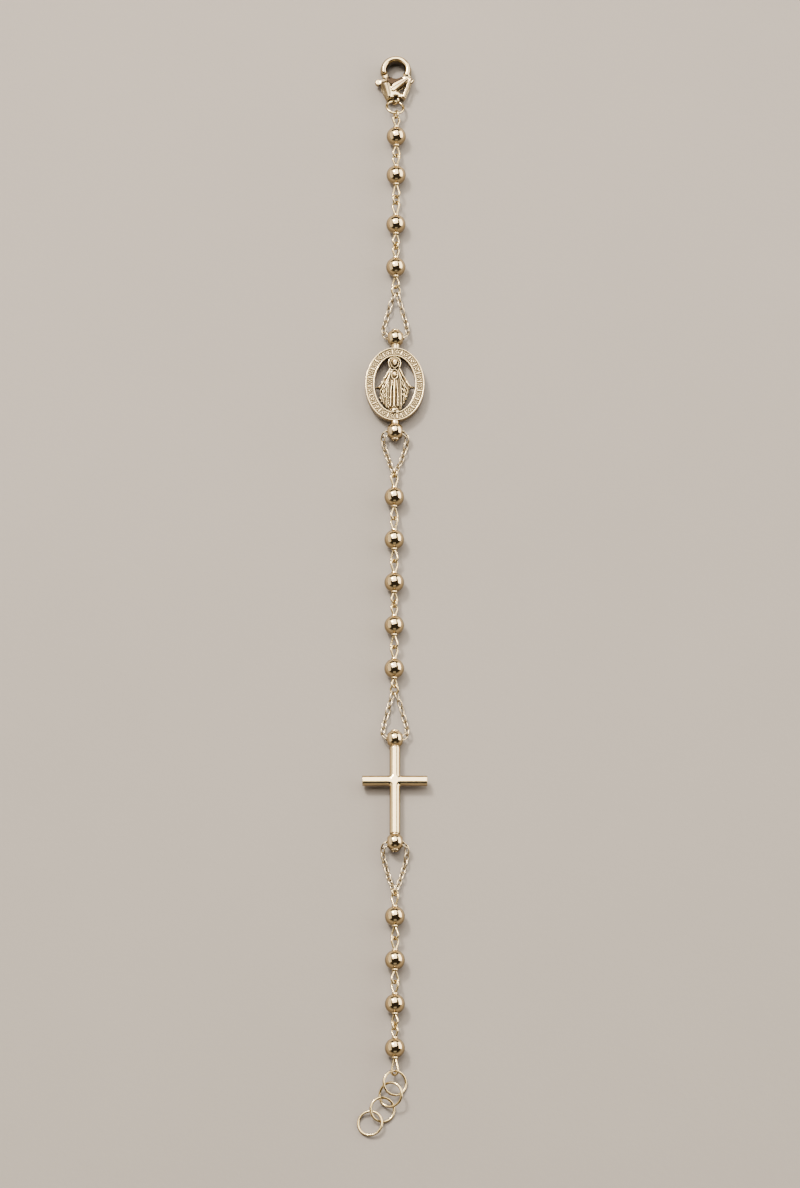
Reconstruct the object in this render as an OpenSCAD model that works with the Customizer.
// Devotional beaded bracelet, laid out straight and open: lobster clasp, round beads on looped
// pins, an openwork oval medal, a plain cross and a tail of four rings. Millimetres, +Z up.
// The bracelet runs along Y with its clasp at +Y, and every bead rests on z = 0.

/* [Bracelet] */
// Whole length, from the top of the clasp to the far side of the last ring
overall_l = 189.74; // [189.7:0.02:189.8]

/* [Beads and looped pins] */
// Diameter of a round bead
bead_d = 3.3; // [3.1:0.05:3.4]
// Diameter of the hole through a bead
bead_hole_d = 0.5; // [0.45:0.01:0.6]
// Diameter of the small collar round the hole at each pole
collar_d = 0.9; // [0.8:0.05:1.1]
// How far the collar stands out of the bead
collar_h = 0.1; // [0.05:0.01:0.15]
// Wire of the looped pins
pin_wire = 0.32; // [0.28:0.01:0.34]
// Outer width of a pin's pear-shaped loop
loop_w = 1.7; // [1.6:0.05:1.9]
// Lean of the loops about the bracelet's length, in degrees, alternately left and right
loop_lean = 38; // [34:1:44]

/* [Small links] */
// Outer diameter of the smallest round link
link_d = 1.5; // [1.4:0.05:1.6]
// Wire of the small round links
link_wire = 0.3; // [0.26:0.01:0.32]

/* [Fine chain] */
// Length of a fine chain link outside
fine_l = 1.87; // [1.84:0.01:1.9]
// Width of a fine chain link outside
fine_w = 1.02; // [0.98:0.01:1.04]
// Wire of the fine chain
fine_wire = 0.18; // [0.17:0.01:0.19]

/* [Soldered balls] */
// Diameter of the balls soldered to the medal and to the cross
ball_d = 2.96; // [2.9:0.02:3.0]
// Diameter of the cross hole that the fine chain passes through
ball_hole_d = 1.24; // [1.2:0.02:1.3]

/* [Medal] */
// Width of the oval medal
medal_w = 9.9; // [9.6:0.1:10.2]
// Height of the oval medal
medal_h = 13.1; // [12.9:0.1:13.2]
// Thickness of the medal over its raised edge lines
medal_t = 1.4; // [1.2:0.1:1.5]
// Width of the ornamented band round the opening
band_w = 1.55; // [1.4:0.05:1.6]
// How many rays stand on the band
ray_count = 40; // [24:2:44]

/* [Cross] */
// Length of the upright
cross_h = 15.0; // [14.8:0.1:15.1]
// Span of the arms
cross_w = 10.7; // [9:0.1:11]
// Width of a bar
bar_w = 1.75; // [1.6:0.05:1.85]
// Thickness of a bar
bar_t = 1.6; // [1.4:0.05:1.7]

/* [Clasp] */
// Outer radius of the hook
hook_r = 2.63; // [2.55:0.01:2.7]
// Radius of the round opening
hook_hole_r = 1.44; // [1.38:0.02:1.46]
// Thickness of the clasp
clasp_t = 2.4; // [2.3:0.1:2.5]
// Thickness of the lever between the two cheeks
lever_t = 0.9; // [0.8:0.05:0.95]
// Diameter of the lever's pivot pin
pivot_d = 0.6; // [0.5:0.05:0.7]
// Outer diameter of the ring that hangs from the clasp
clasp_ring_d = 3.3; // [3.25:0.05:3.4]
// Wire of the clasp's ring
clasp_ring_wire = 0.36; // [0.32:0.01:0.38]

/* [Extension rings] */
// Outer diameter of a ring in the tail
tail_ring_d = 4.34; // [4.3:0.01:4.36]
// Wire of a ring in the tail
tail_ring_wire = 0.42; // [0.36:0.01:0.44]

/* [Hidden] */
$fn = 48;
gold = [0.86, 0.68, 0.50];
gold_pale = [0.92, 0.77, 0.60];
bead_r = bead_d / 2;
ball_r = ball_d / 2;
hook_clear = 0.1;

// Two hooked loops overlap by both wires and this clearance
function hook_overlap(wire_a, wire_b) = wire_a + wire_b + hook_clear;

// Columns of BEADS: place across, place along, and how the loop below is joined to the next bead's
X = 0;
Y = 1;
JOINT = 2;
HOOKED = 0;
LINKED = 1;
LAST = 2;
BEADS = [
    [0.60, 80.10, HOOKED], [0.58, 73.00, LINKED], [0.55, 64.00, LINKED], [0.52, 56.25, LAST],
    [0.28, 15.00, HOOKED], [0.28, 7.45, HOOKED], [0.28, -0.10, LINKED], [0.28, -7.65, HOOKED],
    [0.28, -15.20, LAST],
    [0.40, -58.00, HOOKED], [0.40, -65.45, HOOKED], [0.40, -72.90, LINKED], [0.40, -80.35, LAST]];
BEAD_COUNT = len(BEADS);

// Columns of a placed link: across, along, height, outer diameter, lean about the length, tilt about X
LX = 0;
LY = 1;
LZ = 2;
LD = 3;
LEAN = 4;
TILT = 5;
CLASP_RING = [0.40, 85.57, 1.42, clasp_ring_d, 10, -22.6];
TOP_LINK = [0.57, 84.05, 1.82, 1.6, -56.8, 0];
MEDAL_TOP_LINK = [0.54, 52.10, 1.36, 1.95, 35, 20];
MEDAL_END_LINK = [0.30, 19.20, 1.54, link_d, -42, -10];
CROSS_TOP_LINK = [0.30, -18.80, 1.36, 1.85, -35, 20];
CROSS_END_LINK = [0.38, -53.85, 1.54, link_d, 42, -10];

TAIL = [
    [0.40, -86.10, 1.19, tail_ring_d, 23.6, 10.8],
    [-0.29, -88.10, 1.31, tail_ring_d, -24.8, 9.2],
    [-1.61, -90.50, 0.88, tail_ring_d, 14.8, 11.4],
    [-3.60, -92.70, 0.64, tail_ring_d, -11.7, 4.4]];

// A tube swept through rings: centres p, and for each a vector w that stays square to the path
function unit(v) = v / norm(v);
function ring_points(p, w, r, sides, closed) = let (n = len(p))
    [for (i = [0:n - 1])
        let (before = closed ? p[(i + n - 1) % n] : p[max(i - 1, 0)],
             after = closed ? p[(i + 1) % n] : p[min(i + 1, n - 1)],
             t = unit(after - before),
             u = unit(cross(w[i], t)),
             v = cross(t, u))
        for (k = [0:sides - 1]) p[i] + r * (cos(360 * k / sides) * u + sin(360 * k / sides) * v)];

module swept_wire(p, w, r, sides, closed) {
    n = len(p);
    last = closed ? n - 1 : n - 2;
    sides_faces = [for (i = [0:last], k = [0:sides - 1])
        let (a = i * sides + k,
             b = i * sides + (k + 1) % sides,
             c = ((i + 1) % n) * sides + (k + 1) % sides,
             d = ((i + 1) % n) * sides + k)
        each [[a, c, b], [a, d, c]]];
    first_cap = [for (k = [0:sides - 1]) k];
    last_cap = [for (k = [sides - 1:-1:0]) (n - 1) * sides + k];
    caps = closed ? [] : [first_cap, last_cap];
    polyhedron(ring_points(p, w, r, sides, closed), concat(sides_faces, caps));
}

// A plain round link: placed, leaned about the length and tilted about X
module round_link(row, wire) {
    color(gold_pale)
        translate([row[LX], row[LY], row[LZ]]) rotate([row[TILT], 0, 0]) rotate([0, row[LEAN], 0])
            rotate_extrude()
                translate([(row[LD] - wire) / 2, 0]) circle(d = wire);
}

// Beads: a ball with a small collar round the hole at each pole
module bead(i) {
    color(gold)
        translate([BEADS[i][X], BEADS[i][Y], bead_r]) rotate([90, 0, 0])
            difference() {
                union() {
                    sphere(r = bead_r);
                    cylinder(d = collar_d, h = bead_d + 2 * collar_h, center = true);
                }
                cylinder(d = bead_hole_d, h = bead_d + 1, center = true);
            }
}

// Looped pins: one wire through the bead, closed into a pear-shaped loop at each end
loop_r_full = (loop_w - pin_wire) / 2;
stem_in = 0.02;
bend_clear = 0.03;
neck_out = bead_r + collar_h + pin_wire / 2 + bend_clear;
neck_half = pin_wire / 2 + bend_clear;
arc_steps = 8;
pin_sides = 6;

// A loop that reaches only a short way out of the bead is also narrower
bend_l = 0.25;
function loop_r(reach) = min(loop_r_full, (reach - bend_l) / 3);

// One loop in its own plane as [across, out], from the stem round to the wire's free end
function loop_path(reach) =
    let (r = loop_r(reach),
         eye = bead_r + reach - pin_wire / 2 - r,
         drop = eye - neck_out,
         flare = asin(r / norm([neck_half, drop])) - atan(neck_half / drop))
    concat([[0, bead_r + collar_h - stem_in], [-neck_half, neck_out]],
        [for (k = [0:arc_steps]) let (a = 180 + flare - k * (180 + 2 * flare) / arc_steps)
            [r * cos(a), eye + r * sin(a)]],
        [[neck_half, neck_out]]);
function loop_place(q, side, lean) = [q[0] * cos(lean), side * q[1], -q[0] * sin(lean)];
function loop_normal(lean) = [sin(lean), 0, cos(lean)];
function reversed(list) = [for (k = [len(list) - 1:-1:0]) list[k]];

module pin(i) {
    above = loop_path(up_reach(i));
    below = reversed(loop_path(down_reach(i)));
    route = concat([for (q = below) loop_place(q, -1, down_lean(i))],
        [for (q = above) loop_place(q, 1, up_lean(i))]);
    normals = concat([for (q = below) loop_normal(down_lean(i))],
        [for (q = above) loop_normal(up_lean(i))]);
    color(gold_pale)
        translate([BEADS[i][X], BEADS[i][Y], bead_r])
            swept_wire(route, normals, pin_wire / 2, pin_sides, false);
}

// How far each loop reaches out of its bead, and how it leans
wide_gap = 5;
wide_link_d = 1.9;
tail_loop_reach = 3.05;
function gap_below(i) = BEADS[i][Y] - BEADS[i + 1][Y] - bead_d;
function between(i) = BEADS[i][JOINT] == HOOKED
    ? (gap_below(i) + hook_overlap(pin_wire, pin_wire)) / 2
    : (gap_below(i) - joint_link_d(i)) / 2 + hook_overlap(pin_wire, link_wire);
function joint_link_d(i) = gap_below(i) > wide_gap ? wide_link_d : link_d;
function side_of(i) = i % 2 == 0 ? 1 : -1;
function reach_to(row, i, side) =
    side * (row[LY] - BEADS[i][Y]) - (row[LD] - link_wire) / 2 * cos(row[TILT]) - link_wire / 2 - bead_r
        + hook_overlap(pin_wire, link_wire);
function up_reach(i) = i == 0 ? reach_to(TOP_LINK, i, 1)
    : BEADS[i - 1][JOINT] != LAST ? between(i - 1)
    : i == 4 ? reach_to(MEDAL_END_LINK, i, 1) : reach_to(CROSS_END_LINK, i, 1);
function down_reach(i) = BEADS[i][JOINT] != LAST ? between(i)
    : i == 3 ? reach_to(MEDAL_TOP_LINK, i, -1)
    : i == 8 ? reach_to(CROSS_TOP_LINK, i, -1) : tail_loop_reach;
function down_lean(i) = i == 3 ? -loop_lean : i == 8 ? loop_lean : i == 12 ? -loop_lean
    : side_of(i) * loop_lean;
function up_lean(i) = i == 0 ? loop_lean : i == 4 ? loop_lean : i == 9 ? -loop_lean
    : (BEADS[i - 1][JOINT] == HOOKED ? -1 : 1) * side_of(i - 1) * loop_lean;

// Small round links between two loops
module joint_link(i) {
    half_way = (BEADS[i] + BEADS[i + 1]) / 2;
    lean = -side_of(i) * (90 - loop_lean);
    round_link([half_way[X], half_way[Y], bead_r, joint_link_d(i), lean, 0], link_wire);
}

// Fine chains: oval links along a route from a round link, through a soldered ball and back
chain_clear = 0.25;
fine_pitch = fine_l - 2 * fine_wire - chain_clear;
link_end_r = (fine_w - fine_wire) / 2;
link_straight = (fine_l - fine_wire) / 2 - link_end_r;
fine_lean = 45;
fine_sides = 5;
hook_past = 0.22;
hook_turn = 22;

// Columns of HALF_ROUTE, from the ball's centre: across, share of the way to the round link, height
HALF_ROUTE = [[0.95, 0, 0], [1.72, 0.045, -0.05], [2.05, 0.155, -0.35], [1.75, 0.38, -0.85],
    [1.32, 0.57, -0.9], [0.95, 0.75, -0.65]];

// A point on a round link's wire, turned by an angle from the side that faces the ball
function on_link(row, facing, turn) =
    let (r = (row[LD] - link_wire) / 2,
         x = r * sin(turn),
         y = facing * r * cos(turn),
         z = -x * sin(row[LEAN]))
    [row[LX] + x * cos(row[LEAN]), row[LY] + y * cos(row[TILT]) - z * sin(row[TILT]),
     row[LZ] + y * sin(row[TILT]) + z * cos(row[TILT])];
function half_route(ball, row, facing, side) =
    let (hook = on_link(row, facing, side * hook_turn), span = hook[1] - ball[1])
    concat([for (q = HALF_ROUTE) [ball[0] + side * q[0], ball[1] + q[1] * span, ball[2] + q[2]]],
        [hook - [0, facing * hook_past, 0]]);
function chain_points(ball, row, facing) = concat(
    reversed(half_route(ball, row, facing, -1)), [ball],
    half_route(ball, row, facing, 1));

// A smooth curve through the points (Catmull-Rom), in short steps
curve_steps = 8;
function curve(p) = [for (i = [0:len(p) - 2], k = [0:curve_steps - 1])
    let (a = p[max(i - 1, 0)], b = p[i], c = p[i + 1], d = p[min(i + 2, len(p) - 1)],
         t = k / curve_steps)
    0.5 * (2 * b + (c - a) * t + (2 * a - 5 * b + 4 * c - d) * t * t
        + (3 * b - a - 3 * c + d) * t * t * t)];
function lengths(c, i = 0, sum = 0) = i >= len(c) ? []
    : let (s = i == 0 ? 0 : sum + norm(c[i] - c[i - 1])) concat([s], lengths(c, i + 1, s));
function at(c, s, want) = [for (axis = [0:2])
    lookup(want, [for (i = [0:len(c) - 1]) [s[i], c[i][axis]]])];

module fine_chain(ball, row, facing) {
    points = chain_points(ball, row, facing);
    c = concat(curve(points), [points[len(points) - 1]]);
    s = lengths(c);
    total = s[len(s) - 1];
    count = 2 * ceil(total / (2 * fine_pitch) - 0.1);
    first = -facing * sign(row[LEAN]);
    for (i = [0:count - 1]) {
        a = at(c, s, i * total / count);
        b = at(c, s, (i + 1) * total / count);
        lean = i == 0 || i == count - 1 ? 90 - abs(row[LEAN]) : fine_lean;
        fine_link((a + b) / 2, unit(b - a), first * (i % 2 == 0 ? 1 : -1) * lean);
    }
}

module fine_link(centre, t, lean) {
    side = unit(cross([0, 0, 1], t));
    rise = cross(t, side);
    across = cos(lean) * side + sin(lean) * rise;
    normal = cross(t, across);
    ring = [for (end = [1, -1], k = [0:4])
        let (a = -90 + 45 * k)
        centre + end * ((link_straight + link_end_r * cos(a)) * t + link_end_r * sin(a) * across)];
    color(gold_pale) swept_wire(ring, [for (q = ring) normal], fine_wire / 2, fine_sides, true);
}

// A soldered ball: drilled across for the chain, with a rim round the blind hole at its free end
mouth_deep = 0.5;
rim_d = 1.3;
rim_h = 0.05;
blind_hole_d = 0.85;
blind_deep = 0.4;
neck_d = 1.4;
neck_in = 0.3;

module soldered_ball(facing, neck_l) {
    difference() {
        rotate([-90 * facing, 0, 0]) rotate([0, 0, 90]) rotate_extrude()
            difference() {
                union() {
                    circle(r = ball_r);
                    square([rim_d / 2, ball_r + rim_h]);
                    translate([0, -neck_l]) square([neck_d / 2, neck_l]);
                }
                translate([-ball_d, -ball_d]) square([ball_d, 2 * ball_d]);
                translate([0, ball_r - blind_deep]) square([blind_hole_d / 2, ball_d]);
            }
        rotate([0, 90, 0]) cylinder(d = ball_hole_d, h = ball_d + 1, center = true);
        for (side = [-1, 1]) rotate([0, side * 90, 0]) translate([0, 0, ball_r - mouth_deep])
            cylinder(d1 = ball_hole_d, d2 = ball_hole_d + 2 * mouth_deep, h = mouth_deep);
    }
}

// Medal: an oval band with raised edge lines and rays, round an openwork standing figure
MEDAL = [0.36, 35.02, ball_r];
FIGURE = [0.36, 35.42, ball_r];
MEDAL_TOP_BALL = [0.46, 43.45, ball_r];
MEDAL_END_BALL = [0.40, 26.70, ball_r];
edge_line = 0.26;
groove = 0.22;
ray_w = 0.26;
long_ray = 0.74;
short_ray = 0.36;

module ellipse(w, h) polygon([for (turn = [0:5:355]) [w / 2 * cos(turn), h / 2 * sin(turn)]]);

module band_2d(inset) {
    difference() {
        ellipse(medal_w - 2 * inset, medal_h - 2 * inset);
        ellipse(medal_w - 2 * band_w + 2 * inset, medal_h - 2 * band_w + 2 * inset);
    }
}

module rays_2d() {
    mid_w = medal_w - band_w;
    mid_h = medal_h - band_w;
    for (k = [0:ray_count - 1]) {
        a = (k + 0.5) * 360 / ray_count;
        translate([mid_w / 2 * cos(a), mid_h / 2 * sin(a)])
            rotate([0, 0, atan2(sin(a) / mid_h, cos(a) / mid_w)])
                square([k % 2 == 0 ? long_ray : short_ray, ray_w], center = true);
    }
}

module medal_band() {
    difference() {
        translate([0, 0, -medal_t / 2]) linear_extrude(height = medal_t) band_2d(0);
        translate([0, 0, medal_t / 2 - groove]) linear_extrude(height = groove + 1)
            difference() {
                band_2d(edge_line);
                rays_2d();
            }
    }
}

// The figure stands in steps: a plate cut to the outline, then mantle, robe, folds, hood and head
PLATE = [[-0.6, 4.85], [-1.0, 4.3], [-1.25, 3.7], [-1.0, 2.9], [-0.9, 2.6], [-1.2, 2.1], [-1.75, 1.0],
    [-2.2, 0.1], [-2.6, -0.62], [-3.6, -0.7], [-3.6, -1.05], [-2.6, -1.15], [-2.42, -1.7], [-2.6, -3.0],
    [-2.15, -3.7], [-1.5, -4.4], [-1.2, -5.7], [1.1, -5.7], [1.15, -4.3], [1.6, -3.8], [1.95, -3.0],
    [2.25, -2.0], [2.4, -1.25], [2.7, -1.05], [3.6, -0.95], [3.6, -0.62], [2.75, -0.6], [2.2, 0.1],
    [1.8, 1.0], [1.3, 2.1], [0.9, 2.6], [1.0, 2.9], [1.2, 3.7], [1.0, 4.3], [0.6, 4.85]];
ROBE = [[-0.5, 2.35], [-0.62, 1.0], [-0.95, -1.5], [-1.15, -4.2], [1.1, -4.2], [0.95, -1.5], [0.62, 1.0],
    [0.5, 2.35]];
plate_t = 0.6;
mantle_up = 0.2;
robe_up = 0.32;
fold_up = 0.42;
HEAD = [0, 3.72];
head_r = 0.5;
hood_r = 1.08;
hood_hole_r = 0.7;
hood_low = 0.62;
CHEST = [0, 1.5];
chest_r = 0.5;
chest_up = 0.1;

module on_plate(up) {
    translate([0, 0, -plate_t / 2]) linear_extrude(height = plate_t + up) children();
}

// A fold runs from one point down to another and widens on its way
module fold(x1, y1, x2, y2, w) {
    polygon([[x1 - w / 3, y1], [x2 - w / 2, y2], [x2 + w / 2, y2], [x1 + w / 3, y1]]);
}

module figure() {
    on_plate(0) polygon(PLATE);
    on_plate(robe_up) polygon(ROBE);
    for (k = [-1:1]) on_plate(fold_up) fold(k * 0.24, 0.7, k * 0.62, -4.1, 0.34);
    for (side = [-1, 1]) {
        on_plate(mantle_up) fold(side * 0.95, 2.1, side * 1.5, -3.6, 0.4);
        on_plate(mantle_up + 0.04) fold(side * 1.15, 2.0, side * 2.15, -2.4, 0.4);
        on_plate(robe_up) fold(side * 0.8, 2.2, side * 2.6, -0.9, 0.5);
    }
    on_plate(robe_up) difference() {
        translate(HEAD) circle(r = hood_r);
        translate(HEAD) circle(r = hood_hole_r);
        translate([-hood_r, HEAD[Y] - hood_low - hood_r]) square([2 * hood_r, hood_r]);
    }
    translate([HEAD[X], HEAD[Y], plate_t / 2]) sphere(r = head_r);
    translate([CHEST[X], CHEST[Y], plate_t / 2 + chest_up]) sphere(r = chest_r);
}

module medal() {
    color(gold) {
        translate(MEDAL) medal_band();
        translate(FIGURE) figure();
        translate(MEDAL_TOP_BALL) soldered_ball(1, MEDAL_TOP_BALL[Y] - MEDAL[Y] - medal_h / 2 + neck_in);
        translate(MEDAL_END_BALL) soldered_ball(-1, MEDAL[Y] - medal_h / 2 - MEDAL_END_BALL[Y] + neck_in);
    }
}

// Cross: two plain bars with rounded faces between two soldered balls
CROSS = [0.38, -36.35, ball_r];
CROSS_TOP_BALL = [0.40, -27.45, ball_r];
CROSS_END_BALL = [0.40, -45.25, ball_r];
arm_up = 1.68;
arm_less = 0.06;
bar_round_d = 1.98;

module bar_of(length, less) {
    rotate([90, 0, 0]) linear_extrude(height = length, center = true)
        intersection() {
            square([bar_w - less, bar_t - less], center = true);
            circle(d = bar_round_d - less);
        }
}

module cross_piece() {
    color(gold) {
        translate(CROSS) bar_of(cross_h, 0);
        translate(CROSS + [0, arm_up, 0]) rotate([0, 0, 90]) bar_of(cross_w, arm_less);
        translate(CROSS_TOP_BALL) soldered_ball(1, CROSS_TOP_BALL[Y] - CROSS[Y] - cross_h / 2 + neck_in);
        translate(CROSS_END_BALL) soldered_ball(-1, CROSS[Y] - cross_h / 2 - CROSS_END_BALL[Y] + neck_in);
    }
}

// Clasp: a hook and two cheeks cast in one, with the lever between the cheeks
CLASP = [0.52, overall_l / 2 - hook_r, clasp_t / 2];
hook_from = -25;
hook_to = 197;
gate_from = 199.5;
gate_to = 234;
side_in = 0.36;
side_over = 0.08;
lever_clear = 0.1;
slot_t = lever_t + lever_clear;
cheek_t = (clasp_t - slot_t) / 2;
PIVOT = [1.85, -1.6];
KNOB = [-2.95, -2.14];
knob_r = 0.54;
EYE = [-0.08, -5.15, -0.30];
eye_r = 0.72;
eye_wire = 0.36;
eye_lean = 45;
NUB = [2.45, -1.85, 0.75];
nub_d = 0.44;
nub_l = 0.55;

// Front outline of a cheek, from the hook's right side round the foot to the gate's seam
CHEEK = [[1.25, -0.75], [2.3, -0.9], [2.72, -1.55], [2.66, -2.0], [2.25, -3.3], [1.72, -4.4], [1.35, -4.95],
    [0.95, -4.8], [0.5, -4.55], [-0.66, -4.55], [-1.1, -4.8], [-1.45, -5.05], [-1.72, -4.7], [-2.3, -3.6],
    [-2.6, -2.7], [-2.45, -2.05], [-1.25, -1.98], [-0.95, -2.7], [-0.5, -2.5], [1.2, -1.6]];
WINDOW = [[1.95, -2.3], [-0.1, -3.45], [0.75, -4.1], [1.2, -4.05], [1.5, -3.6]];
foot_top = -4.3;
LEVER = [[1.75, -1.11], [-0.7, -1.1], [-1.35, -1.85], [-2.1, -1.5], [-2.6, -1.75], [-2.6, -2.5],
    [-1.5, -2.55], [1.9, -2.1]];
lever_eye_r = 0.5;

// Part of a turn of the hook: a flat bar whose section is rounded off at its two edges
module sector(from, to, inner, outer, thick) {
    rotate([0, 0, from]) rotate_extrude(angle = to - from)
        intersection() {
            translate([inner, -thick / 2]) square([outer - inner, thick]);
            translate([inner + side_in, 0]) circle(r = thick / 2 + side_over);
        }
}

module cheek() {
    linear_extrude(height = cheek_t)
        difference() {
            polygon(CHEEK);
            polygon(WINDOW);
            circle(r = hook_hole_r);
        }
}

module clasp_body() {
    color(gold_pale)
        translate(CLASP) {
            sector(hook_from, hook_to, hook_hole_r, hook_r, clasp_t);
            translate([0, 0, -clasp_t / 2]) cheek();
            translate([0, 0, clasp_t / 2 - cheek_t]) cheek();
            translate([0, 0, -clasp_t / 2]) linear_extrude(height = clasp_t)
                intersection() {
                    polygon(CHEEK);
                    translate([-3, -6]) square([6, 6 + foot_top]);
                }
            translate(concat(PIVOT, 0)) cylinder(d = pivot_d, h = clasp_t - 0.1, center = true);
            translate(NUB) rotate([0, 90, 0]) cylinder(d = nub_d, h = nub_l);
            translate(EYE) rotate([0, -eye_lean, 0])
                rotate_extrude()
                    translate([eye_r, 0]) circle(d = eye_wire);
        }
}

module clasp_lever() {
    color(gold_pale)
        translate(CLASP) {
            sector(gate_from, gate_to, hook_hole_r, hook_r - 0.1, lever_t);
            translate([0, 0, -lever_t / 2]) linear_extrude(height = lever_t)
                difference() {
                    union() {
                        translate(PIVOT) circle(r = lever_eye_r);
                        polygon(LEVER);
                        translate(KNOB) circle(r = knob_r);
                    }
                    circle(r = hook_hole_r);
                    translate(PIVOT) circle(d = pivot_d + lever_clear);
                }
        }
}

function two_digits(i) = i < 10 ? str("0", i) : str(i);

clasp_body();
clasp_lever();
round_link(CLASP_RING, clasp_ring_wire);  // clasp_ring
round_link(TOP_LINK, link_wire);  // top_link
for (i = [0:BEAD_COUNT - 1]) {
    bead(i);
    pin(i);
    if (BEADS[i][JOINT] == LINKED)
        joint_link(i);
}
round_link(MEDAL_TOP_LINK, link_wire);  // medal_top_link
fine_chain(MEDAL_TOP_BALL, MEDAL_TOP_LINK, -1);  // medal_top_chain
medal();
fine_chain(MEDAL_END_BALL, MEDAL_END_LINK, 1);  // medal_end_chain
round_link(MEDAL_END_LINK, link_wire);  // medal_end_link
round_link(CROSS_TOP_LINK, link_wire);  // cross_top_link
fine_chain(CROSS_TOP_BALL, CROSS_TOP_LINK, -1);  // cross_top_chain
cross_piece();  // cross
fine_chain(CROSS_END_BALL, CROSS_END_LINK, 1);  // cross_end_chain
round_link(CROSS_END_LINK, link_wire);  // cross_end_link
for (k = [0:len(TAIL) - 1])
    round_link(TAIL[k], tail_ring_wire);
